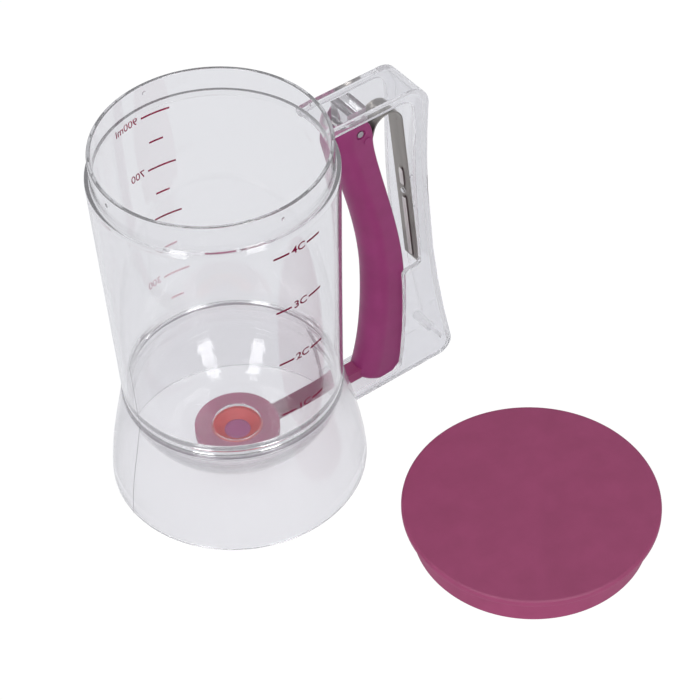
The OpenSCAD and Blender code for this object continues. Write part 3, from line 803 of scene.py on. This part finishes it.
# ---- Floor, lights and camera ----
FLOOR_HALF, FLOOR_Z = 6000.0, -0.3
floor = add_mesh("floor", [(x, y, FLOOR_Z) for x, y in ((-FLOOR_HALF, -FLOOR_HALF), (FLOOR_HALF, -FLOOR_HALF),
                                                        (FLOOR_HALF, FLOOR_HALF), (-FLOOR_HALF, FLOOR_HALF))],
                 [(0, 1, 2, 3)], smooth=False)
mat, tree, shader = new_material("pale_floor")
shader.inputs["Base Color"].default_value = (0.22, 0.22, 0.225, 1)
shader.inputs["Roughness"].default_value = 0.9
shader.inputs["Specular IOR Level"].default_value = 0.1
shader.inputs["Emission Color"].default_value = (0.95, 0.955, 0.985, 1)
shader.inputs["Emission Strength"].default_value = 0.685
# The table is plain white round the product and a little darker as seen through it
path = tree.nodes.new("ShaderNodeLightPath")
white = tree.nodes.new("ShaderNodeEmission")
white.inputs["Strength"].default_value = 1.02
mix = tree.nodes.new("ShaderNodeMixShader")
tree.links.new(path.outputs["Is Camera Ray"], mix.inputs["Fac"])
tree.links.new(shader.outputs["BSDF"], mix.inputs[1])
tree.links.new(white.outputs["Emission"], mix.inputs[2])
tree.links.new(mix.outputs["Shader"], tree.nodes["Material Output"].inputs["Surface"])
floor.data.materials.append(mat)


def area_light(name, where, target, wide, high, power):
    """A soft lamp, in metres, that shines from where to target."""
    lamp = bpy.data.lights.new(name, "AREA")
    lamp.shape = "RECTANGLE"
    lamp.size, lamp.size_y = wide, high
    lamp.energy = power
    item = bpy.data.objects.new(name, lamp)
    bpy.context.scene.collection.objects.link(item)
    item.location = where
    item.rotation_euler = (Vector(target) - Vector(where)).to_track_quat("-Z", "Y").to_euler()
    return item


CAMERA_AT = Vector((-0.3805, -0.6408, 0.8116))
CAMERA_RIGHT, CAMERA_UP = Vector((0.8023, -0.596, -0.033)), Vector((0.442, 0.556, 0.7039))
CAMERA_AHEAD = Vector((0.4012, 0.5793, -0.7095))

# Two rows of lamps over the product, seen in the gloss alone, narrow away from the camera. Each
# lamp has its start and end as metres from the jug's axis (towards the camera, aside) and a width.
ROW_Z = 1.03
ROW_STRENGTH = (6.5, 6.5, 5, 4)
LAMP_ROWS = (
    (1, ((2.6, 1.4), (1.23, 0.73), 0.65), ((1.23, 0.73), (0.55, 0.405), 0.33),
     ((0.55, 0.405), (0.045, 0.212), 0.19), ((0.045, 0.212), (-0.3, 0.115), 0.1)),
    (-1, ((1.9, 1.3), (0.93, 0.71), 0.46), ((0.93, 0.71), (0.38, 0.41), 0.27),
     ((0.38, 0.41), (-0.1, 0.2), 0.17), ((-0.1, 0.2), (-0.45, 0.11), 0.07)))
camera_az = math.atan2(CAMERA_AT.y, CAMERA_AT.x)
near = Vector((math.cos(camera_az), math.sin(camera_az), 0))
aside = Vector((-math.sin(camera_az), math.cos(camera_az), 0))
for side, *row in LAMP_ROWS:
    for k, (start, end, wide) in enumerate(row):
        start = near * start[0] + aside * side * start[1] + Vector((0, 0, ROW_Z))
        end = near * end[0] + aside * side * end[1] + Vector((0, 0, ROW_Z))
        middle, line = (start + end) / 2, end - start
        lamp = area_light("row_%d_%d" % (side + 1, k), middle, middle - Vector((0, 0, 1)), wide, line.length,
                          ROW_STRENGTH[k] * math.pi * wide * line.length)
        lamp.rotation_euler = (0, 0, math.atan2(line.y, line.x) - math.pi / 2)
        lamp.visible_camera = False
        lamp.visible_diffuse = False
soft = area_light("front_soft", (-0.8, -1.15, 0.85), (0.03, -0.05, 0.05), 1.2, 1.2, 8.5)
soft.visible_camera = False
soft.visible_glossy = False
soft.visible_transmission = False

scene = bpy.context.scene
world = bpy.data.worlds.new("studio")
scene.world = world
world.use_nodes = True
sky = world.node_tree.nodes["Background"]
sky.inputs["Color"].default_value = (0.95, 0.96, 1.0, 1)
sky.inputs["Strength"].default_value = 0.62

scene.view_settings.view_transform = "Standard"
# Rays cross many clear walls, and mirror inside them, before they come out
scene.cycles.max_bounces = 24
scene.cycles.transmission_bounces = 24
scene.cycles.glossy_bounces = 24
scene.cycles.transparent_max_bounces = 24

lens = bpy.data.cameras.new("camera")
lens.sensor_width = 36
lens.lens = 124.61
lens.clip_start = 0.05
camera = bpy.data.objects.new("camera", lens)
scene.collection.objects.link(camera)
turn = Matrix((CAMERA_RIGHT, CAMERA_UP, -CAMERA_AHEAD)).transposed()
camera.matrix_world = Matrix.Translation(CAMERA_AT) @ turn.to_4x4()
scene.camera = camera
